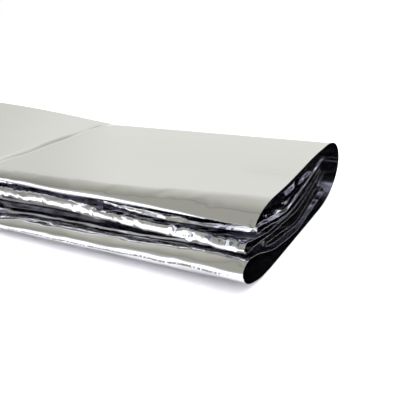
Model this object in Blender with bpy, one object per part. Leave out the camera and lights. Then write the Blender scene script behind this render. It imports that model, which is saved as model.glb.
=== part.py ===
"""Emergency foil blanket: one film folded back and forth into a strip, then creased across.

The strip lies along X with its open side towards -Y. A section across it is one line of film: its layers
run between the open side (near) and the back (far), and turns join each layer to the next. The section is
worked out at stations along the strip, the stations are skinned into one sheet, and Solidify gives the
sheet its thickness.
Sizes are in millimetres and are turned into metres where the mesh is made.
"""

import math

import bmesh
import bpy
from mathutils import Vector

MM = 0.001

# Driving dimensions
FILM = 1.0  # thickness of the sheet
PANEL = 131.0  # from one crosswise crease to the next
PANELS = 3
LENGTH = PANEL * PANELS
WIDTH = 105.0  # from the open side's outermost fold to the rounded back
FLOOR = FILM / 2  # the film's middle where it lies on the floor

# The crosswise creases
CREASE_SKEW = 5.5  # how much sooner the first crease comes at the back than at the front
CREASE_DIP = 0.9  # depth of the first crease in the top
CREASE_REACH = 7.0  # half the width of that dip
RISE = 9.5  # how far the second crease stands off the floor
LANDING = 0.85  # share of the last panel over which the strip comes down to the floor again

# The wandering of a fold in and out along the strip
WAVER = 0.8  # how far it goes
WAVER_LENGTH = 27.0  # distance along the strip in which it goes through one radian
CALM = 0.4  # share of it that fades in and out along the strip
CALM_LENGTH = 61.0

# Each layer of film, in the order in which the film runs from one free edge to the other.
# near_y, near_z: where its near end is at TIGHT_STATIONS. heights: z at DEPTHS, as far as it reaches them.
# far: y and z of its far end. inset: how far its cut edges stand back from the strip's ends.
# waver: the phase of its wandering, the same for two layers that share a turn.
TIGHT_STATIONS = (0.0, 20.0, 45.0, 65.0, 85.0, 105.0, 131.0)  # from a slack end to a crease
DEPTHS = (13.0, 23.0, 37.0, 52.5, 68.0)
LAYERS = {
    "B2": dict(
        near_y=(5.2, 5.4, 5.9, 7.0, 9.4, 10.0, 9.6),
        near_z=(12.9, 13.3, 13.7, 14.0, 14.1, 13.8, 13.4),
        heights=(12.4, 11.0, 9.8, 9.1, 11.3), far=(84.0, 15.3), inset=2.2, waver=0.3,
    ),
    "B1": dict(
        near_y=(9.0, 8.8, 9.0, 9.6, 10.4, 11.2, 10.6),
        near_z=(16.0, 16.4, 16.6, 17.2, 18.5, 17.8, 17.0),
        heights=(14.7, 12.8, 11.4, 11.5, 14.2), far=(80.0, 17.0), inset=2.2, waver=0.3,
    ),
    "A2": dict(
        near_y=(12.4, 8.6, 8.6, 11.6, 18.6, 18.0, 13.8),
        near_z=(17.2, 18.3, 18.4, 18.4, 17.0, 17.0, 17.5),
        heights=(None, 15.5, 13.1, 13.3, 15.9), far=(80.0, 18.8), inset=1.2, waver=2.1,
    ),
    "A1": dict(
        near_y=(12.8, 10.8, 11.0, 13.4, 19.0, 18.4, 14.2),
        near_z=(19.3, 19.9, 19.9, 19.8, 18.4, 18.5, 20.0),
        heights=(None, 17.2, 14.9, 16.2, 18.8), far=(82.0, 21.0), inset=1.2, waver=2.1,
    ),
    "T2": dict(
        near_y=(9.4, 9.8, 11.0, 12.0, 12.0, 11.4, 10.8),
        near_z=(21.4, 21.4, 21.5, 21.6, 21.9, 22.1, 22.3),
        heights=(21.3, 18.8, 16.7, 17.8, 20.4), far=(82.0, 22.8), inset=0.4, waver=4.0,
    ),
    "T": dict(
        near_y=(25.0, 23.0, 18.0, 14.5, 13.5, 13.5, 15.0),
        near_z=(26.2, 26.3, 26.9, 27.2, 27.0, 26.6, 26.2),
        heights=(None, None, 26.2, 26.9, 27.6), far=(84.0, 27.4), inset=0.0, waver=4.0,
    ),
    "L": dict(
        near_y=(22.0, 17.0, 15.0, 14.6, 14.2, 13.8, 13.5),
        near_z=(FLOOR,) * 7,
        heights=(None, FLOOR, FLOOR, FLOOR, FLOOR), far=(74.0, FLOOR), inset=0.0, waver=5.2,
    ),
    "L2": dict(
        near_y=(7.0, 8.0, 9.0, 9.4, 9.2, 8.4, 7.6),
        near_z=(11.2, 10.5, 9.9, 9.7, 9.5, 8.8, 7.2),
        heights=(9.8, 6.0, 3.7, 2.5, 4.3), far=(83.0, 5.9), inset=0.4, waver=5.2,
    ),
    "C2": dict(
        near_y=(20.0, 18.0, 16.5, 16.0, 16.0, 16.0, 16.0),
        near_z=(8.5, 8.9, 9.4, 9.6, 9.6, 9.3, 8.4),
        heights=(None, 7.8, 5.5, 4.1, 6.2), far=(83.0, 8.3), inset=1.4, waver=1.2,
    ),
    "C1": dict(
        near_y=(20.0, 18.0, 16.5, 16.0, 16.0, 16.0, 16.0),
        near_z=(9.9, 10.3, 11.0, 11.3, 11.3, 11.0, 10.4),
        heights=(None, 9.5, 7.2, 5.7, 9.4), far=(88.0, 14.2), inset=1.4, waver=1.2,
    ),
}
LAYER_CUTS = 8  # pieces that each layer is cut into
NEAR_DENSITY = 0.5  # how the cuts of a layer crowd towards the open side: 1 is even

# How a near end's rise or fall along the strip carries on inwards: the share left at FREE_DEPTH, past which
# there is none.
FREE_DEPTH = 23.0
LIFT_LEFT = 0.4

# The turn from each layer to the next, and how many pieces it is cut into. At TIGHT_STATIONS, bulge is the
# reach of its two handles as a share of the distance between the layers' ends, and reach the same in mm.
TURNS = {
    ("B2", "B1"): dict(bulge=(0.75, 0.6, 0.5, 0.42, 0.36, 0.42, 0.5), cuts=6),
    ("B1", "A2"): dict(bulge=(0.7,) * 7, cuts=4),
    ("A2", "A1"): dict(bulge=(0.62,) * 7, cuts=5),
    ("A1", "T2"): dict(bulge=(0.7,) * 7, cuts=4),
    ("T2", "T"): dict(
        reach=((1.4, 1.8, 3.6, 5.6, 5.8, 4.4, 3.4), (14.0, 12.0, 9.0, 6.6, 6.0, 6.0, 7.0)),
        cuts=9,
    ),
    ("T", "L"): dict(reach=((29.0,) * 7, (39.0,) * 7), cuts=12),
    ("L", "L2"): dict(
        reach=((30.0, 24.0, 20.5, 20.0, 20.0, 19.0, 17.0), (12.0, 11.5, 11.5, 12.5, 13.0, 13.0, 12.0)),
        cuts=11,
    ),
    ("L2", "C2"): dict(bulge=(0.8,) * 7, cuts=4),
    ("C2", "C1"): dict(bulge=(0.7,) * 7, cuts=4),
}

# Where sections are made along a panel, as shares of its length. They are counted towards the first crease,
# and on the other panels towards the second, so that they crowd at both.
PANEL_STATIONS = (0.08, 0.2, 0.35, 0.5, 0.65, 0.8, 0.92)

SHARP_ANGLE = math.radians(40)


def stations():
    """Distances from the strip's front end at which a section is made."""
    found = [panel * PANEL for panel in range(PANELS + 1)]
    for share in PANEL_STATIONS:
        found.append(share * PANEL)
        found += [(panel - share) * PANEL for panel in range(2, PANELS + 1)]
    return sorted(found)


def tightness(u):
    """From 0 at a slack end to PANEL at a crease, where the folds are pressed together."""
    nearest = min(abs(u - panel * PANEL) for panel in range(1, PANELS))
    return max(0.0, PANEL - nearest)


def lift(u):
    """How far the strip stands off the floor: flat to the first crease, over the second, flat at the end."""
    share = u / PANEL - 1
    if share <= 0:
        return 0.0
    if share <= 1:
        return RISE * math.sin(math.pi / 2 * share)
    down = min(1.0, (share - 1) / LANDING)
    return RISE * (1 + math.cos(math.pi * down)) / 2


def crease_dip(u):
    """Depth of the first crosswise crease in the top layer."""
    return CREASE_DIP * max(0.0, 1 - abs(u - PANEL) / CREASE_REACH)


def wander(u, phase):
    """How far a fold stands further in than its mean place at station u."""
    fade = 1 - CALM + CALM * math.sin(u / CALM_LENGTH + 2 * phase)
    return WAVER * math.sin(u / WAVER_LENGTH + phase) * fade


def hermite(knots, y):
    """Height at y of a smooth line through the knots, and its slope there."""
    slopes = []
    for i in range(len(knots)):
        before = knots[max(i - 1, 0)]
        after = knots[min(i + 1, len(knots) - 1)]
        slopes.append((after[1] - before[1]) / (after[0] - before[0]))
    i = 0
    while i < len(knots) - 2 and y > knots[i + 1][0]:
        i += 1
    (y0, z0), (y1, z1) = knots[i], knots[i + 1]
    wide = y1 - y0
    t = (y - y0) / wide
    height = (
        (2 * t**3 - 3 * t**2 + 1) * z0
        + (t**3 - 2 * t**2 + t) * wide * slopes[i]
        + (3 * t**2 - 2 * t**3) * z1
        + (t**3 - t**2) * wide * slopes[i + 1]
    )
    slope = (
        (6 * t**2 - 6 * t) * (z0 - z1) / wide
        + (3 * t**2 - 4 * t + 1) * slopes[i]
        + (3 * t**2 - 2 * t) * slopes[i + 1]
    )
    return height, slope


def by_station(values, u):
    """The value at u of a smooth line through the values given at TIGHT_STATIONS, level at both ends."""
    before = (-TIGHT_STATIONS[1], values[1])
    after = (2 * PANEL - TIGHT_STATIONS[-2], values[-2])
    return hermite([before, *zip(TIGHT_STATIONS, values), after], tightness(u))[0]


def layer_knots(name, u):
    """The points that a layer passes through at u, from the open side to the back."""
    row = LAYERS[name]
    near_z = by_station(row["near_z"], u)
    raised = near_z - row["near_z"][0]
    knots = [(by_station(row["near_y"], u) + wander(u, row["waver"]), near_z)]
    for depth, z in zip(DEPTHS, row["heights"]):
        if z is not None:
            left = 1 - (1 - LIFT_LEFT) * depth / FREE_DEPTH if depth <= FREE_DEPTH else 0.0
            knots.append((depth, z + raised * left))
    knots.append(row["far"])
    if name == "T":
        knots = [(y, z - crease_dip(u)) for y, z in knots]
    return knots


def layer_points(name, u):
    """A layer's points from the open side to the back, with the direction of the film at each end."""
    knots = layer_knots(name, u)
    start, end = knots[0][0], knots[-1][0]
    points = []
    for i in range(LAYER_CUTS + 1):
        t = i / LAYER_CUTS
        y = start + (end - start) * t * (NEAR_DENSITY + (1 - NEAR_DENSITY) * t)
        points.append((y, hermite(knots, y)[0]))
    directions = [Vector((1.0, hermite(knots, y)[1])).normalized() for y in (start, end)]
    return points, directions


def turn_points(from_end, from_way, to_end, to_way, row, u):
    """Points between two layers' ends, on the curve that leaves one and enters the other without a kink."""
    p0, p3 = Vector(from_end), Vector(to_end)
    if "bulge" in row:
        reaches = [by_station(row["bulge"], u) * (p3 - p0).length] * 2
    else:
        reaches = [by_station(values, u) for values in row["reach"]]
    p1 = p0 + from_way * reaches[0]
    p2 = p3 - to_way * reaches[1]
    points = []
    for i in range(1, row["cuts"]):
        t = i / row["cuts"]
        s = 1 - t
        points.append(tuple(s**3 * p0 + 3 * s * s * t * p1 + 3 * s * t * t * p2 + t**3 * p3))
    return points


def section(u):
    """The whole line of film at station u, as (y, z, inset) from one free edge to the other."""
    line = []
    before = None
    for i, name in enumerate(LAYERS):
        points, (near_way, far_way) = layer_points(name, u)
        inset = LAYERS[name]["inset"]
        runs_inwards = i % 2 == 1
        if runs_inwards:
            enter, leave = near_way, far_way
        else:
            points.reverse()
            enter, leave = -far_way, -near_way
        if before:
            last_name, last_inset, last_way = before
            row = TURNS[(last_name, name)]
            curve = turn_points(line[-1][:2], last_way, points[0], enter, row, u)
            for k, (y, z) in enumerate(curve, 1):
                line.append((y, z, last_inset + (inset - last_inset) * k / row["cuts"]))
        line += [(y, z, inset) for y, z in points]
        before = (name, inset, leave)
    return line


def place(u, y, z, inset):
    """The point in millimetres in the part's frame, before it is centred."""
    middle = LENGTH / 2
    along = middle + (u - middle) * (1 - inset / middle)
    skew = CREASE_SKEW * math.sin(math.pi * min(1.0, u / (2 * PANEL)))
    return Vector((skew * y / WIDTH - along, y, z + lift(u)))


def make_sheet():
    """The film's middle surface as a mesh, centred over its lowest point."""
    rows = [[place(u, y, z, inset) for y, z, inset in section(u)] for u in stations()]
    corners = [p for row in rows for p in row]
    centre = [(min(p[i] for p in corners) + max(p[i] for p in corners)) / 2 for i in (0, 1)]
    shift = Vector((-centre[0], -centre[1], 0.0))
    bm = bmesh.new()
    grid = [[bm.verts.new((p + shift) * MM) for p in row] for row in rows]
    for row, after in zip(grid, grid[1:]):
        for i in range(len(row) - 1):
            bm.faces.new((row[i], row[i + 1], after[i + 1], after[i]))
    bmesh.ops.recalc_face_normals(bm, faces=bm.faces)
    mesh = bpy.data.meshes.new("foil_blanket")
    bm.to_mesh(mesh)
    bm.free()
    return mesh


def film_material():
    """Bright vapour-coated film."""
    material = bpy.data.materials.new("silver_film")
    material.use_nodes = True
    shader = material.node_tree.nodes["Principled BSDF"]
    shader.inputs["Base Color"].default_value = (0.82, 0.83, 0.80, 1.0)
    shader.inputs["Metallic"].default_value = 1.0
    shader.inputs["Roughness"].default_value = 0.08
    return material


def clear_scene():
    for obj in list(bpy.data.objects):
        bpy.data.objects.remove(obj)


def main():
    clear_scene()
    mesh = make_sheet()
    mesh.materials.append(film_material())
    blanket = bpy.data.objects.new("foil_blanket", mesh)
    bpy.context.scene.collection.objects.link(blanket)
    thickness = blanket.modifiers.new("film_thickness", "SOLIDIFY")
    thickness.thickness = FILM * MM
    thickness.offset = 0.0
    thickness.use_even_offset = True
    mesh.shade_smooth()
    mesh.set_sharp_from_angle(angle=SHARP_ANGLE)


main()
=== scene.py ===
"""Looks of the emergency foil blanket: the thin film on its folds, its finish, the studio and the camera.

The film is worked out as one line across the strip, folded back and forth, at every distance along the strip.
Sizes of the film are in millimetres until its mesh is made; the studio is in metres.
"""

import math

import bpy
import numpy as np
from mathutils import Matrix, Vector
from mathutils.geometry import delaunay_2d_cdt


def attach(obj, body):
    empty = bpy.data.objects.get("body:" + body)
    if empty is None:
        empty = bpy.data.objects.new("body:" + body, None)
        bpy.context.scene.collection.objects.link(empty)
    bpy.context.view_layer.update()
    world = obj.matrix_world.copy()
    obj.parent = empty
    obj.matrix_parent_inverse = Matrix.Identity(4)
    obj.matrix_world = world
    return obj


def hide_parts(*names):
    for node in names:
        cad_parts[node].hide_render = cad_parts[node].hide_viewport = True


MM = 0.001

# ---------------------------------------------------------------- the film's folds
PANEL = 131.0  # from one crosswise crease to the next
PANELS = 3
LENGTH = PANEL * PANELS
WIDTH = 105.0  # of the strip
FLOOR = 0.5  # the film's middle where it lies on the floor

CREASE_SKEW = 5.5  # how much sooner the first crease comes at the back than at the front
RISE = 9.5  # how far the second crease stands off the floor
LANDING = 0.85  # share of the last panel over which the strip comes down again

WAVER = 0.8  # how far a fold wanders in and out along the strip
WAVER_LENGTH = 27.0
CALM = 0.4  # share by which the wandering dies down and comes back
CALM_LENGTH = 61.0

# Where the near ends of the layers are given, from a slack end to a crease.
SLACK_STATIONS = (0.0, 20.0, 45.0, 65.0, 85.0, 105.0, 131.0)
# How far in from the open side the heights of the layers are given.
DEPTHS = (13.0, 23.0, 37.0, 52.5, 68.0)
# The layers in the order in which the film runs. near_y and near_z: the near end at each of SLACK_STATIONS.
# heights: at each of DEPTHS, if the layer reaches it. far: the far end. inset: how far the cut edge stands back.
# waver: the phase of the wandering.
LAYERS = {
    "B2": dict(
        near_y=(5.0, 5.1, 5.5, 6.7, 9.1, 10.7, 11.3), near_z=(12.9, 13.3, 13.7, 14.0, 14.1, 13.8, 13.4),
        heights=(12.4, 11.0, 9.8, 9.1, 11.3), far=(84.0, 15.3), inset=2.2, waver=0.3),
    "B1": dict(
        near_y=(6.4, 5.6, 5.8, 7.2, 10.1, 12.1, 12.6), near_z=(16.3, 17.1, 17.2, 17.6, 18.5, 17.8, 17.0),
        heights=(14.7, 12.8, 11.4, 11.5, 14.2), far=(80.0, 17.0), inset=2.2, waver=0.3),
    "A2": dict(
        near_y=(12.4, 8.9, 9.2, 12.2, 18.6, 18.0, 13.8), near_z=(17.2, 18.0, 18.1, 18.2, 17.0, 17.0, 17.5),
        heights=(None, 15.5, 13.1, 13.3, 15.9), far=(80.0, 18.8), inset=1.2, waver=2.1),
    "A1": dict(
        near_y=(12.8, 9.5, 9.8, 12.8, 19.0, 18.4, 14.2), near_z=(19.3, 19.8, 19.8, 19.6, 18.4, 18.5, 19.6),
        heights=(None, 17.2, 14.9, 16.2, 18.8), far=(82.0, 21.0), inset=1.2, waver=2.1),
    "T2": dict(
        near_y=(9.4, 9.6, 10.2, 10.8, 10.0, 9.9, 9.8), near_z=(21.0, 21.1, 21.0, 20.8, 20.9, 21.2, 21.6),
        heights=(21.3, 18.8, 16.7, 17.8, 20.4), far=(82.0, 22.8), inset=0.4, waver=4.0),
    "T": dict(
        near_y=(25.0, 23.0, 18.0, 14.5, 13.5, 13.5, 15.0), near_z=(26.2, 26.3, 26.9, 27.2, 27.0, 26.6, 26.2),
        heights=(None, None, 26.2, 26.9, 27.6), far=(84.0, 27.4), inset=0.0, waver=4.0),
    "L": dict(
        near_y=(22.0, 17.0, 15.0, 14.6, 14.2, 13.8, 13.5), near_z=(FLOOR,) * 7,
        heights=(None, FLOOR, FLOOR, FLOOR, FLOOR), far=(74.0, FLOOR), inset=0.0, waver=5.2),
    "L2": dict(
        near_y=(7.0, 7.8, 7.4, 7.0, 6.8, 6.8, 6.8), near_z=(11.5, 11.3, 10.1, 9.5, 9.2, 8.6, 7.1),
        heights=(9.8, 6.0, 3.7, 2.5, 4.3), far=(83.0, 5.9), inset=0.4, waver=5.2),
    "C2": dict(
        near_y=(20.0, 18.0, 16.5, 16.0, 16.0, 16.0, 16.0), near_z=(8.5, 8.9, 9.4, 9.6, 9.6, 9.3, 8.4),
        heights=(None, 7.8, 5.5, 4.1, 6.2), far=(83.0, 8.3), inset=1.4, waver=1.2),
    "C1": dict(
        near_y=(20.0, 18.0, 16.5, 16.0, 16.0, 16.0, 16.0), near_z=(9.9, 10.3, 11.0, 11.3, 11.3, 11.0, 10.4),
        heights=(None, 9.5, 7.2, 5.7, 9.4), far=(88.0, 14.2), inset=1.4, waver=1.2),
}
# How a near end's rise or fall along the strip carries on inwards: the share left at FREE_DEPTH.
FREE_DEPTH = 23.0
LIFT_LEFT = 0.4

# The turn from each layer to the next: how far its two handles reach, in millimetres, at the stations
# or all along, or how far it bulges, as a share of the distance between the layers' ends.
TURNS = {
    ("B2", "B1"): dict(bulge=(0.6, 0.35, 0.3, 0.3, 0.3, 0.36, 0.45)),
    ("B1", "A2"): dict(bulge=0.7),
    ("A2", "A1"): dict(bulge=0.62),
    ("A1", "T2"): dict(bulge=0.7),
    ("T2", "T"): dict(reach=((1.4, 1.8, 3.6, 5.6, 5.8, 4.4, 3.4), (14.0, 12.0, 9.0, 6.6, 6.0, 6.0, 7.0))),
    ("T", "L"): dict(reach=(29.0, 39.0)),
    ("L", "L2"): dict(
        reach=((30.0, 24.0, 20.5, 20.0, 20.0, 19.0, 17.0), (12.0, 11.0, 10.5, 10.5, 10.5, 10.5, 10.0))),
    ("L2", "C2"): dict(bulge=0.8),
    ("C2", "C1"): dict(bulge=0.7),
}
MIDDLING = 45.0  # where the strip is as slack as it mostly is
TABLE_CUTS = 160  # of each element, for the distance across the film


def by_station(values, u):
    """The value itself, or the smooth line through the values at SLACK_STATIONS, level at both ends."""
    if not isinstance(values, tuple):
        return values
    stations = np.array(SLACK_STATIONS)
    at = tightness(u)
    slopes = np.zeros(len(stations))
    slopes[1:-1] = np.subtract(values[2:], values[:-2]) / (stations[2:] - stations[:-2])
    k = np.clip(np.searchsorted(stations, at) - 1, 0, len(stations) - 2)
    wide = np.take(np.diff(stations), k)
    t = (at - np.take(stations, k)) / wide
    v0, v1 = np.take(values, k), np.take(values, k + 1)
    m0, m1 = np.take(slopes, k) * wide, np.take(slopes, k + 1) * wide
    return smooth_line(t, v0, v1, m0, m1)


def smooth_line(t, v0, v1, m0, m1):
    """The smooth line from v0 to v1 that starts and ends with the slopes m0 and m1."""
    return (
        (2 * t**3 - 3 * t**2 + 1) * v0
        + (t**3 - 2 * t**2 + t) * m0
        + (3 * t**2 - 2 * t**3) * v1
        + (t**3 - t**2) * m1
    )


def tightness(u):
    """From 0 at a slack end to PANEL at a crease."""
    nearest = np.min([np.abs(u - panel * PANEL) for panel in range(1, PANELS)], axis=0)
    return np.clip(PANEL - nearest, 0, None)


def lift(u):
    """How far the strip stands off the floor: flat to the first crease, over the second, flat at the end."""
    share = u / PANEL - 1
    up = RISE * np.sin(math.pi / 2 * np.clip(share, 0, 1))
    down = RISE * (1 + np.cos(math.pi * np.clip((share - 1) / LANDING, 0, 1))) / 2
    return np.where(share <= 1, up, down)


def wander(u, phase):
    """How far a fold stands further in than its mean place."""
    fade = 1 - CALM + CALM * np.sin(u / CALM_LENGTH + 2 * phase)
    return WAVER * np.sin(u / WAVER_LENGTH + phase) * fade


def layer_knots(name, u):
    """The points that a layer passes through at each u, from the open side to the back, as two arrays."""
    row = LAYERS[name]
    near_z = by_station(row["near_z"], u)
    raised = near_z - row["near_z"][0]
    ys = [by_station(row["near_y"], u) + wander(u, row["waver"])]
    zs = [near_z]
    for depth, z in zip(DEPTHS, row["heights"]):
        if z is not None:
            left = 1 - (1 - LIFT_LEFT) * depth / FREE_DEPTH if depth <= FREE_DEPTH else 0.0
            ys.append(np.full_like(u, depth))
            zs.append(z + raised * left)
    far_y, far_z = row["far"]
    ys.append(np.full_like(u, far_y))
    zs.append(np.full_like(u, far_z))
    return np.array(ys), np.array(zs)


def hermite(ys, zs, y):
    """Height at y of the smooth line through the knots, and its slope there."""
    last = len(ys) - 1
    slopes = np.array([
        (zs[min(i + 1, last)] - zs[max(i - 1, 0)]) / (ys[min(i + 1, last)] - ys[max(i - 1, 0)])
        for i in range(last + 1)
    ])
    at = np.clip((y[None, :] > ys[1:-1]).sum(axis=0), 0, last - 1)
    rows = np.arange(len(y))
    y0, y1 = ys[at, rows], ys[at + 1, rows]
    z0, z1 = zs[at, rows], zs[at + 1, rows]
    m0, m1 = slopes[at, rows], slopes[at + 1, rows]
    wide = y1 - y0
    t = (y - y0) / wide
    height = smooth_line(t, z0, z1, wide * m0, wide * m1)
    slope = (
        (6 * t**2 - 6 * t) * (z0 - z1) / wide
        + (3 * t**2 - 4 * t + 1) * m0
        + (3 * t**2 - 2 * t) * m1
    )
    return height, slope


def layer_line(name, t, u):
    """Points of a layer, t from 0 at the open side to 1 at the back, with the slope there."""
    ys, zs = layer_knots(name, u)
    y = ys[0] + (ys[-1] - ys[0]) * t
    z, slope = hermite(ys, zs, y)
    return y, z, slope


def layer_end(name, u, at_back, inwards):
    """A layer's end at each u, and the way the film runs there."""
    y, z, slope = layer_line(name, np.full_like(u, float(at_back)), u)
    way = np.array([np.ones_like(u), slope]) / np.sqrt(1 + slope**2)
    return np.array([y, z]), way if inwards else -way


def turn_reach(names, u, apart):
    """How far the two handles of a turn reach."""
    row = TURNS[names]
    if "bulge" in row:
        return [by_station(row["bulge"], u) * apart] * 2
    return [by_station(reach, u) for reach in row["reach"]]


def element_line(element, t, u):
    """Points (y, z, inset) of one element of the film, a layer or a turn, for t from 0 to 1."""
    names, inwards = element
    insets = [LAYERS[name]["inset"] for name in names]
    if len(names) == 1:
        y, z, _ = layer_line(names[0], t if inwards else 1 - t, u)
        return y, z, np.full_like(u, insets[0])
    p0, way0 = layer_end(names[0], u, inwards, inwards)
    p3, way3 = layer_end(names[1], u, inwards, not inwards)
    reach0, reach3 = turn_reach(names, u, np.hypot(*(p3 - p0)))
    p1 = p0 + way0 * reach0
    p2 = p3 - way3 * reach3
    s = 1 - t
    y, z = s**3 * p0 + 3 * s * s * t * p1 + 3 * s * t * t * p2 + t**3 * p3
    return y, z, insets[0] + (insets[1] - insets[0]) * t


def film_elements():
    """The layers and turns in the order in which the film runs, and whether each leads inwards."""
    names = list(LAYERS)
    elements = []
    for i, name in enumerate(names):
        inwards = i % 2 == 1
        elements.append(((name,), inwards))
        if i + 1 < len(names):
            elements.append(((name, names[i + 1]), inwards))
    return elements


ELEMENTS = film_elements()
T_STEPS = np.linspace(0, 1, TABLE_CUTS + 1)


def arc_tables():
    """For each element, the distance across the film at each of T_STEPS, where the strip is middling slack."""
    tables = []
    start = 0.0
    for element in ELEMENTS:
        y, z, _ = element_line(element, T_STEPS, np.full_like(T_STEPS, MIDDLING))
        arc = start + np.concatenate([[0], np.cumsum(np.hypot(np.diff(y), np.diff(z)))])
        tables.append(arc)
        start = arc[-1]
    return tables


ARCS = arc_tables()
FILM_WIDTH = ARCS[-1][-1]
STRETCH = {"-".join(names): (arc[0], arc[-1]) for (names, _), arc in zip(ELEMENTS, ARCS)}


def place(u, y, z, inset):
    """Points in millimetres before they are centred."""
    middle = LENGTH / 2
    along = middle + (u - middle) * (1 - inset / middle)
    skew = CREASE_SKEW * np.sin(math.pi * np.minimum(1.0, u / (2 * PANEL)))
    return np.stack([skew * y / WIDTH - along, y, z + lift(u)], axis=1)


def film(s, u):
    """The film's smooth middle surface at a distance s across it and u along the strip."""
    out = np.zeros((len(s), 3))
    for k, (element, arc) in enumerate(zip(ELEMENTS, ARCS)):
        here = (s >= arc[0]) & (s < arc[-1]) if k + 1 < len(ELEMENTS) else s >= arc[0]
        if here.any():
            t = np.interp(s[here], arc, T_STEPS)
            out[here] = place(u[here], *element_line(element, t, u[here]))
    return out


NORMAL_STEP = 0.15  # to either side of a point


def film_normals(s, u):
    """The way the smooth film faces."""
    s0, s1 = (np.clip(s + step, 0, FILM_WIDTH) for step in (-NORMAL_STEP, NORMAL_STEP))
    u0, u1 = (np.clip(u + step, 0, LENGTH) for step in (-NORMAL_STEP, NORMAL_STEP))
    normal = np.cross(film(s1, u) - film(s0, u), film(s, u1) - film(s, u0))
    return normal / np.linalg.norm(normal, axis=1)[:, None]


# ---------------------------------------------------------------- the mesh of the film
FILM_THICKNESS = 0.05
LOWEST = 0.1  # the film's middle stays this far off the floor
SEED = 41  # of the facets' heights

# How far apart the mesh's points are across each stretch of film, and along it in the first panel and beyond.
MESH = {
    "T": (1.6, 2.4, 6.0),
    "T2-T": (0.6, 1.6, 6.0),
    "T2": (2.4, 2.4, 8.0),
    "A1-T2": (1.2, 4.0, 10.0),
    "A1": (3.0, 3.0, 9.0),
    "A2-A1": (0.7, 1.4, 5.0),
    "A2": (3.0, 3.0, 9.0),
    "B1-A2": (1.2, 4.0, 10.0),
    "B1": (3.0, 3.0, 10.0),
    "B2-B1": (1.0, 1.4, 5.0),
    "B2": (3.0, 3.0, 10.0),
    "T-L": (1.6, 3.5, 7.0),
    "L": (3.5, 4.0, 8.0),
    "L-L2": (0.7, 1.6, 5.5),
    "L2": (2.4, 3.0, 7.0),
    "L2-C2": (1.2, 4.0, 10.0),
    "C2": (3.5, 4.0, 10.0),
    "C2-C1": (0.8, 1.6, 6.0),
    "C1": (3.5, 4.0, 10.0),
}

# Crumpled stretches. on: the stretch whose middle they lie about. reach: how far they go across the film before
# and after it. finer: the mesh's spacing in the first panel. until: how far along the strip it is that fine, if
# less than the first panel. lean: -1 if the facets only stand up. sets: the size of the flat facets across and
# along, and at distances along the strip how high they stand and how much a finer set adds.
CRUMPLES = (
    dict(on="B2-B1", reach=(7.0, 8.0), finer=(0.5, 0.6), sets=(
        ((4.2, 2.7), (
            (0, 0.55, 0.16), (7, 0.50, 0.16), (9, 0.42, 0.05), (18, 0.42, 0.05), (20, 0.58, 0.18), (29, 0.58, 0.18),
            (32, 0.18, 0.04), (41, 0.18, 0.04), (45, 0.30, 0.08), (58, 0.30, 0.08), (61, 0.42, 0.12),
            (71, 0.42, 0.12), (75, 0.14, 0.03), (90, 0.16, 0.04), (98, 0.26, 0.08), (134, 0.26, 0.08),
            (393, 0.2, 0.0))),
        ((1.8, 8.0), (
            (0, 0.24, 0.10), (7, 0.20, 0.10), (9, 0.16, 0.02), (18, 0.16, 0.02), (21, 0.22, 0.12), (29, 0.22, 0.12),
            (32, 0.16, 0.02), (40, 0.18, 0.04), (45, 0.28, 0.12), (58, 0.28, 0.12), (62, 0.30, 0.10),
            (71, 0.30, 0.10), (76, 0.20, 0.04), (90, 0.20, 0.05), (98, 0.30, 0.10), (134, 0.30, 0.10),
            (393, 0.3, 0.0))))),
    dict(on="A2-A1", reach=(5.0, 7.0), finer=(0.6, 0.9), sets=(
        ((1.7, 9.0), (
            (0, 0.36, 0.16), (6, 0.34, 0.14), (12, 0.22, 0.05), (60, 0.24, 0.04), (86, 0.22, 0.05),
            (96, 0.42, 0.16), (134, 0.42, 0.16), (393, 0.3, 0.0))),
        ((3.4, 3.6), (
            (0, 0.20, 0.0), (12, 0.14, 0.0), (60, 0.14, 0.0), (96, 0.20, 0.0), (134, 0.20, 0.0),
            (393, 0.0, 0.0))))),
    dict(on="C2-C1", reach=(6.0, 7.0), finer=(0.8, 1.2), sets=(
        ((2.2, 11.0), (
            (0, 0.30, 0.12), (8, 0.25, 0.08), (20, 0.16, 0.02), (90, 0.18, 0.02), (134, 0.30, 0.08),
            (393, 0.3, 0.0))),)),
    dict(on="T2-T", reach=(8.0, 6.0), finer=(0.6, 1.2), sets=(
        ((2.0, 4.5), (
            (0, 0.01, 0.0), (18, 0.01, 0.0), (21, 0.06, 0.02), (25, 0.02, 0.0), (30, 0.07, 0.02), (37, 0.06, 0.02),
            (42, 0.01, 0.0), (95, 0.01, 0.0), (110, 0.08, 0.0), (134, 0.08, 0.0), (150, 0.01, 0.0),
            (393, 0.01, 0.0))),)),
    dict(on="L-L2", reach=(6.5, -0.5), finer=(0.5, 1.0), until=105.0, sets=(
        ((1.5, 9.0), (
            (0, 0.05, 0.02), (12, 0.16, 0.05), (60, 0.16, 0.05), (85, 0.12, 0.0), (105, 0.0, 0.0),
            (393, 0.0, 0.0))),)),
    dict(on="T2", reach=(34.0, 26.0), finer=(1.0, 0.6), until=15.0, lean=-1.0, sets=(
        ((11.0, 2.9), ((0, 0.85, 0.10), (9, 0.85, 0.10), (15, 0.0, 0.0), (393, 0.0, 0.0))),)),
)
FINE_SHARE = 0.42  # size of the finer facets
FADE = 2.0  # over how much of the film a crumpled stretch fades out
GAP_ACROSS, GAP_ALONG = 0.3, 0.5  # between a crumpled stretch's own points and the others

# Slack crinkles of the inner layers: the facets' size across and along, their height at the open end, and the
# distance along the strip from which they are half as high.
INNER = dict(
    names=("T2", "A1", "A2", "B1", "B2", "L2", "C2", "C1"), facet=(6.0, 7.0), height=0.32, calm_from=30.0, fade=6.0)

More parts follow.
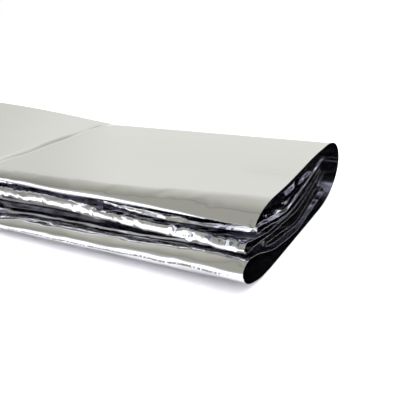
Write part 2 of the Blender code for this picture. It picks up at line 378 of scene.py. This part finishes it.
# The crosswise crease in the top: how deep it is, how far it reaches to either side, how far it runs on past the
# top at the front and the back and fades out there, and its bends, as (sideways, length) of each.
CREASE = dict(
    depth=0.7, reach=4.8, front=dict(past=8.0, fade=6.0), back=dict(past=22.0, fade=12.0),
    bends=((1.1, 11.0), (0.5, 4.3)))
CREASE_MESH = dict(past=(8.0, 18.0), across=1.6, along=0.8, rows=8)  # extra points there

# A fine pucker along the low side of the lower fold: how far past the stretch's start it runs, at distances along
# the strip, and how deep it is there.
PUCKER = dict(
    on="L-L2", half=0.42, along=(0.0, 15.0, 30.0, 52.0, 78.0, 105.0, 125.0),
    past=(17.4, 17.6, 17.2, 17.3, 16.9, 17.3, 16.9), depth=(0.45, 0.70, 0.62, 0.72, 0.66, 0.60, 0.0))
PUCKER_MESH_STEP = 0.9  # along the strip

# Soft swells of the two rounded folds: height, and how far apart they are across the film and waver along it.
SWELLS = (
    dict(on="L-L2", height=0.09, across=6.8, along=47.0),
    dict(on="T2-T", height=0.03, across=7.5, along=33.0),
)
SWELL_FADE = 4.0


def axis_points(start, end, step):
    """Evenly spaced values from start to end, about a step apart."""
    return np.linspace(start, end, max(1, round((end - start) / step)) + 1)


def strip_rows(along, beyond):
    """Distances along the strip of a stretch's points."""
    return np.concatenate([axis_points(0, PANEL, along), axis_points(PANEL, LENGTH, beyond)[1:]])


def crumpled_stretch(row):
    """Where a crumpled stretch starts and ends across the film."""
    middle = sum(STRETCH[row["on"]]) / 2
    return middle - row["reach"][0], middle + row["reach"][1]


def film_points():
    """The mesh's points on the flat film."""
    points = []
    areas = []
    for row in CRUMPLES:
        start, end = crumpled_stretch(row)
        until = row.get("until", PANEL)
        areas.append((start, end, until))
        across, along = row["finer"]
        for i, s in enumerate(axis_points(start, end, across)):
            offset = along / 2 if i % 2 else 0.0
            points += [(s, 0.0)] + [(s, u + offset) for u in axis_points(0, until, along)[1:]]
    for (names, _), arc in zip(ELEMENTS, ARCS):
        across, along, beyond = MESH["-".join(names)]
        columns = axis_points(arc[0], arc[-1], across)
        if arc is not ARCS[-1]:
            columns = columns[:-1]
        for s in columns:
            crumpled = [
                until + GAP_ALONG for start, end, until in areas if start - GAP_ACROSS < s < end + GAP_ACROSS
            ]
            points += [(s, u) for u in strip_rows(along, beyond) if u > max(crumpled, default=-1.0)]
    start, end = STRETCH["T"]
    rows = CREASE_MESH["rows"]
    for s in axis_points(start - CREASE_MESH["past"][0], end + CREASE_MESH["past"][1], CREASE_MESH["across"]):
        points += [(s, PANEL + k * CREASE_MESH["along"]) for k in range(-rows, rows + 1) if k]
    for u in axis_points(0.0, PUCKER["along"][-1], PUCKER_MESH_STEP):
        points += [(pucker_line(u) + k * PUCKER["half"] / 2, u) for k in range(-3, 4)]
    return points


def pucker_line(u):
    """Where the pucker runs across the film."""
    return STRETCH[PUCKER["on"]][0] + np.interp(u, PUCKER["along"], PUCKER["past"]) + 0.2 * np.sin(u / 2.9)


def pucker(s, u):
    """How far the pucker is drawn into the film; it comes and goes in short beads."""
    depth = np.interp(u, PUCKER["along"], PUCKER["depth"]) * (0.75 + 0.25 * np.sin(u / 1.7) * np.sin(u / 0.9))
    return -depth * np.clip(1 - np.abs(s - pucker_line(u)) / PUCKER["half"], 0, 1)


def crease(s, u):
    """How far the crosswise crease dips into the top."""
    start, end = STRETCH["T"]
    front, back = CREASE["front"], CREASE["back"]
    on_top = (
        np.clip((s - start + front["past"]) / front["fade"], 0, 1)
        * np.clip((end + back["past"] - s) / back["fade"], 0, 1)
    )
    bend = sum(sideways * np.sin((s - start) / length) for sideways, length in CREASE["bends"])
    valley = np.clip(1 - np.abs(u - PANEL - bend) / CREASE["reach"], 0, 1)
    return -CREASE["depth"] * on_top * valley**1.5


def facets(rng, s, u, across, along):
    """Heights of -1 to 1 of flat facets of about this size, uneven and joined at their edges."""
    a = s / across + 0.30 * np.sin(1.9 * u / along + 0.7) + 0.18 * np.sin(4.3 * u / along)
    b = u / along + 0.34 * np.sin(1.7 * s / across + 1.1) + 0.21 * np.sin(3.9 * s / across)
    i, j = np.floor(a).astype(int), np.floor(b).astype(int)
    a, b = a - i, b - j
    i, j = i - i.min(), j - j.min()
    table = rng.uniform(-1, 1, (i.max() + 2, j.max() + 2))
    turned = rng.random((i.max() + 1, j.max() + 1))[i, j] < 0.5
    h00, h10, h01, h11 = table[i, j], table[i + 1, j], table[i, j + 1], table[i + 1, j + 1]
    plain = np.where(
        a + b < 1,
        h00 + a * (h10 - h00) + b * (h01 - h00),
        h11 + (1 - a) * (h01 - h11) + (1 - b) * (h10 - h11),
    )
    other = np.where(
        a > b,
        h00 + a * (h10 - h00) + b * (h11 - h10),
        h00 + b * (h01 - h00) + a * (h11 - h01),
    )
    return np.where(turned, other, plain)


def within(s, start, end, fade):
    """1 within a stretch of the film, fading out to 0 at its two ends."""
    return np.clip((s - start) / fade, 0, 1) * np.clip((end - s) / fade, 0, 1)


def swelling(s, u):
    """How far the swells stand off the smooth folds."""
    height = np.zeros_like(s)
    for row in SWELLS:
        turns = u / row["along"]
        waver_along = 0.3 * np.sin(2 * np.pi * turns) + 0.12 * np.sin(5.4 * np.pi * turns)
        swell = row["height"] * np.sin(2 * np.pi * (s / row["across"] + waver_along))
        height += within(s, *STRETCH[row["on"]], SWELL_FADE) * swell
    return height


def crumpling(s, u):
    """How far the crumples stand off the smooth folds."""
    rng = np.random.default_rng(SEED)
    height = np.zeros_like(s)
    for row in CRUMPLES:
        inside = within(s, *crumpled_stretch(row), FADE)
        for (across, along), heights in row["sets"]:
            here, coarse, fine = zip(*heights)
            coarse = np.interp(u, here, coarse) * (facets(rng, s, u, across, along) + row.get("lean", 0.0))
            fine = np.interp(u, here, fine) * facets(rng, s, u, across * FINE_SHARE, along * FINE_SHARE)
            height += inside * (coarse + fine)
    inner = np.max([within(s, *STRETCH[name], INNER["fade"]) for name in INNER["names"]], axis=0)
    calm = 1 - 0.5 * np.clip(u / INNER["calm_from"], 0, 1)
    height += INNER["height"] * inner * calm * facets(rng, s, u, *INNER["facet"])
    return height


def film_mesh():
    """The film as a mesh, with its map in metres on the flat film."""
    points = [Vector(p) for p in film_points()]
    flat, _, faces, _, _, _ = delaunay_2d_cdt(points, [], [], 0, 1e-6)
    flat = np.array([tuple(p) for p in flat])
    s, u = flat[:, 0], flat[:, 1]
    smooth = film(s, u)
    centre = (smooth.min(axis=0) + smooth.max(axis=0)) / 2
    centre[2] = 0
    height = crumpling(s, u) + swelling(s, u) + crease(s, u) + pucker(s, u)
    places = (smooth - centre + film_normals(s, u) * height[:, None]) * MM
    places[:, 2] = np.maximum(places[:, 2], LOWEST * MM)
    mesh = bpy.data.meshes.new("foil_film")
    mesh.from_pydata(places.tolist(), [], [tuple(face) for face in faces])
    corner_points = np.array([i for face in faces for i in face])
    uv = mesh.uv_layers.new(name="flat_film")
    uv.data.foreach_set("uv", (flat[corner_points] * MM).ravel())
    mesh.shade_smooth()
    return mesh


# ---------------------------------------------------------------- shader maths
class Sock:
    """A shader socket; every operation on it adds a Math or Map Range node."""

    def __init__(self, tree, socket):
        self.tree = tree
        self.socket = socket

    def _math(self, operation, *values):
        return self.tree.node("ShaderNodeMath", {"operation": operation}, dict(enumerate(values)))

    def __add__(self, other):
        return self._math("ADD", self, other)

    __radd__ = __add__

    def __sub__(self, other):
        return self._math("SUBTRACT", self, other)

    def __rsub__(self, other):
        return self._math("SUBTRACT", other, self)

    def __mul__(self, other):
        return self._math("MULTIPLY", self, other)

    __rmul__ = __mul__

    def __truediv__(self, other):
        return self._math("DIVIDE", self, other)

    def at_least(self, other):
        return self._math("MAXIMUM", self, other)

    def size(self):
        return self._math("ABSOLUTE", self)

    def rising(self, low, high):
        """0 at low, 1 at high, smooth between."""
        return self.tree.node(
            "ShaderNodeMapRange",
            {"interpolation_type": "SMOOTHSTEP"},
            {"Value": self, "From Min": low, "From Max": high},
        )


class Tree:
    """A node tree that is emptied and then filled by calls that give back their output socket."""

    def __init__(self, owner):
        owner.use_nodes = True
        self.tree = owner.node_tree
        self.tree.nodes.clear()

    def node(self, kind, settings=None, inputs=None, output=0):
        made = self.tree.nodes.new(kind)
        for name, value in (settings or {}).items():
            if name == "stops":
                ramp = made.color_ramp
                while len(ramp.elements) < len(value):
                    ramp.elements.new(0.5)
                for element, (position, colour) in zip(ramp.elements, value):
                    element.position = position
                    element.color = (*colour, 1.0)
            else:
                setattr(made, name, value)
        for name, value in (inputs or {}).items():
            if isinstance(value, Sock):
                self.tree.links.new(value.socket, made.inputs[name])
            else:
                made.inputs[name].default_value = value
        if not made.outputs:
            return None
        return Sock(self, made.outputs[output])

    def split(self, vector):
        """The three parts of a vector."""
        made = self.tree.nodes.new("ShaderNodeSeparateXYZ")
        self.tree.links.new(vector.socket, made.inputs[0])
        return [Sock(self, made.outputs[i]) for i in range(3)]

    def noise(self, across, along, detail):
        """Noise from 0 to 1 over a place on the flat film."""
        place = self.node("ShaderNodeCombineXYZ", {}, {0: across, 1: along})
        return self.node("ShaderNodeTexNoise", {}, {"Vector": place, "Scale": 1.0, "Detail": detail})

    def mix(self, share, first, second):
        """A colour between two others."""
        return self.node("ShaderNodeMix", {"data_type": "RGBA"}, {0: share, 6: first, 7: second}, output=2)


# ---------------------------------------------------------------- the film's finish
# Noise over the flat film: how fine it is across and along, in a metre, and its detail.
STREAKS = (430.0, 26.0, 3.0)
PATCHES = (120.0, 60.0, 2.0)
SPECKS = (1500.0, 1100.0, 1.0)
FILM_COLOURS = ((0.862, 0.861, 0.888, 1), (0.886, 0.884, 0.906, 1))
ROUGHNESS, PATCH_ROUGHNESS, SPECK_ROUGHNESS = 0.035, 0.04, 0.03
STREAK_HEIGHT = 0.000022


def film_material():
    """Mirror-bright film with faint lengthwise streaks and slightly duller patches."""
    material = bpy.data.materials.new("silver_film")
    tree = Tree(material)
    across, along, _ = tree.split(tree.node("ShaderNodeUVMap", {"uv_map": "flat_film"}))
    streaks, patches, specks = (
        tree.noise(across * fine_across, along * fine_along, detail)
        for fine_across, fine_along, detail in (STREAKS, PATCHES, SPECKS)
    )
    colour = tree.mix(patches, *FILM_COLOURS)
    roughness = ROUGHNESS + PATCH_ROUGHNESS * patches + SPECK_ROUGHNESS * specks
    relief = tree.node("ShaderNodeBump", {}, {"Height": streaks, "Distance": STREAK_HEIGHT})
    shader = tree.node(
        "ShaderNodeBsdfPrincipled",
        {},
        {"Base Color": colour, "Metallic": 1.0, "Roughness": roughness, "Normal": relief},
    )
    tree.node("ShaderNodeOutputMaterial", {}, {"Surface": shader})
    return material


# ---------------------------------------------------------------- the studio
CAMERA_AT = (0.2567, -0.1756, 0.0906)
CAMERA_ANGLES = (31.19, 22.06, -3.75)  # azimuth, elevation and roll in degrees
CAMERA_LENS = 45.26
SENSOR_WIDTH = 36.0


def make_camera():
    """A camera that looks down along the strip's open side from beyond its open end."""
    azimuth, elevation, roll = (math.radians(a) for a in CAMERA_ANGLES)
    ahead = Vector((
        -math.sin(azimuth) * math.cos(elevation),
        math.cos(azimuth) * math.cos(elevation),
        -math.sin(elevation),
    ))
    level = Vector((math.cos(azimuth), math.sin(azimuth), 0.0))
    above = level.cross(ahead)
    right = math.cos(roll) * level + math.sin(roll) * above
    up = math.cos(roll) * above - math.sin(roll) * level
    turn = Matrix((right, up, -ahead)).transposed().to_4x4()
    data = bpy.data.cameras.new("camera")
    data.sensor_width = SENSOR_WIDTH
    data.lens = CAMERA_LENS
    data.clip_start = 0.005
    camera = bpy.data.objects.new("camera", data)
    camera.matrix_world = Matrix.Translation(CAMERA_AT) @ turn
    bpy.context.scene.collection.objects.link(camera)
    bpy.context.scene.camera = camera


# The room that the film mirrors: a bright wall low down behind the strip, then a soft edge, and dimmer beyond it.
# The angles go up from the horizon behind the strip and over the top, as shares of a half turn.
BRIGHT = (0.79, 0.79, 0.735)
HALFWAY = (0.58, 0.58, 0.52)
DIM = (0.37, 0.37, 0.32)
ROOM = ((0.0, BRIGHT), (0.14, BRIGHT), (0.2, HALFWAY), (0.34, DIM), (1.0, DIM))
# What else there is in the room. share: how strong it is. up: between which angles it comes in, as above.
# beside: between which x it comes in; the smooth film mirrors x below about -0.3, and turned facets the rest.
STRETCHED = dict(share=1.04, beside=(-0.38, -0.64))  # the colours above are drawn out towards the left
SEAM = dict(at=0.39, half=0.022, share=0.3, beside=(0.1, -0.2), colour=(0.06, 0.06, 0.05, 1))
SHADE = dict(share=0.15, beside=(-0.61, -0.76), colour=(0, 0, 0, 1))
FRONT = dict(up=(0.86, 0.965), colour=(0.52, 0.535, 0.575, 1))
FRONT_EDGE = dict(up=(0.97, 1.0), colour=(0.90, 0.90, 0.92, 1))
WALLS = dict(up=(0.48, 0.62), beside=(0.5, 0.3))  # two walls to the right, the second over the first
DARK_WALL = dict(beside=(-0.36, -0.26), colour=(0.15, 0.17, 0.22, 1))
BRIGHT_WALL = dict(beside=(-0.14, -0.04), colour=(0.85, 0.88, 0.95, 1))

# The soft light that falls on things: at the horizon and overhead, from the front and from the back.
DOME_FRONT = ((0.7, 0.69, 0.72, 1), (2.65, 2.63, 2.73, 1))
DOME_BACK = ((1.3, 1.29, 1.34, 1), (4.95, 4.9, 5.07, 1))
DOME_MIRRORED = (2.0, 2.0, 2.03, 1)  # on the floor where the film mirrors it
CLEAR = (1, 1, 1, 1)  # behind everything

FLOOR_SIZE = 8.0
FLOOR_COLOUR = (0.8, 0.8, 0.81, 1)


def make_world():
    """A pale studio: one room to be mirrored, one dome of soft light, and plain white behind."""
    world = bpy.data.worlds.new("studio")
    bpy.context.scene.world = world
    tree = Tree(world)
    x, y, z = tree.split(tree.node("ShaderNodeTexCoord"))
    angle = tree.node("ShaderNodeMath", {"operation": "ARCTAN2"}, {0: z.at_least(0.0), 1: y}) / math.pi
    stretched = angle / (1.0 + STRETCHED["share"] * x.rising(*STRETCHED["beside"]))
    room = tree.node("ShaderNodeValToRGB", {"stops": ROOM}, {0: stretched})
    seam = 1.0 - (stretched - SEAM["at"]).size().rising(0.0, SEAM["half"])
    room = tree.mix(SEAM["share"] * seam * x.rising(*SEAM["beside"]), room, SEAM["colour"])
    room = tree.mix(SHADE["share"] * x.rising(*SHADE["beside"]), room, SHADE["colour"])
    for part in (FRONT, FRONT_EDGE):
        room = tree.mix(angle.rising(*part["up"]), room, part["colour"])
    walls = angle.rising(*WALLS["up"]) * x.rising(*WALLS["beside"])
    for part in (DARK_WALL, BRIGHT_WALL):
        room = tree.mix(walls * x.rising(*part["beside"]), room, part["colour"])
    diffuse_ray = tree.node("ShaderNodeLightPath", output="Is Diffuse Ray")
    camera_ray = tree.node("ShaderNodeLightPath", output="Is Camera Ray")
    mirrored = tree.node("ShaderNodeLightPath", output="Glossy Depth").rising(0.2, 0.8)
    dome = tree.mix(y.rising(-1.0, 1.0), tree.mix(z, *DOME_FRONT), tree.mix(z, *DOME_BACK))
    dome = tree.mix(mirrored, dome, DOME_MIRRORED)
    seen = tree.mix(camera_ray, tree.mix(diffuse_ray, room, dome), CLEAR)
    background = tree.node("ShaderNodeBackground", {}, {"Color": seen})
    tree.node("ShaderNodeOutputWorld", {}, {"Surface": background})


def make_floor():
    """A plain pale floor."""
    bpy.ops.mesh.primitive_plane_add(size=FLOOR_SIZE, location=(0, 0, 0))
    floor = bpy.context.object
    floor.name = "floor"
    material = bpy.data.materials.new("pale_floor")
    tree = Tree(material)
    shader = tree.node("ShaderNodeBsdfDiffuse", {}, {"Color": FLOOR_COLOUR})
    tree.node("ShaderNodeOutputMaterial", {}, {"Surface": shader})
    floor.data.materials.append(material)


# ---------------------------------------------------------------- putting it together
SHARP_ANGLE = math.radians(32)  # the film's facets are sharp past this
MIRRORINGS = 32  # how often light may pass from film to film


def make_blanket():
    """The folded film as one closed piece."""
    blanket = bpy.data.objects.new("foil_film", film_mesh())
    bpy.context.scene.collection.objects.link(blanket)
    blanket.data.materials.append(film_material())
    for other in bpy.context.selected_objects:
        other.select_set(False)
    bpy.context.view_layer.objects.active = blanket
    blanket.select_set(True)
    thickness = blanket.modifiers.new("film_thickness", "SOLIDIFY")
    thickness.thickness = FILM_THICKNESS * MM
    thickness.offset = 0.0
    bpy.ops.object.modifier_apply(modifier=thickness.name)
    blanket.data.set_sharp_from_angle(angle=SHARP_ANGLE)
    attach(blanket, "root")
    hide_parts("foil_blanket")
    FILM_WIDTH * MM


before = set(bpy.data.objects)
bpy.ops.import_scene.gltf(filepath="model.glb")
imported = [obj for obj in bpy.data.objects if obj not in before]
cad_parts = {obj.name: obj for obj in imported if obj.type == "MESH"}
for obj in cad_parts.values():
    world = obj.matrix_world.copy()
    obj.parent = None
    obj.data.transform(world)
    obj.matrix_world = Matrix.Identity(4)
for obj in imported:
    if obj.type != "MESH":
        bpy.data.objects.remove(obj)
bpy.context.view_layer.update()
make_camera()
make_blanket()
make_world()
make_floor()
bpy.context.scene.view_settings.view_transform = "Standard"
bpy.context.scene.cycles.glossy_bounces = MIRRORINGS
bpy.context.scene.cycles.max_bounces = MIRRORINGS
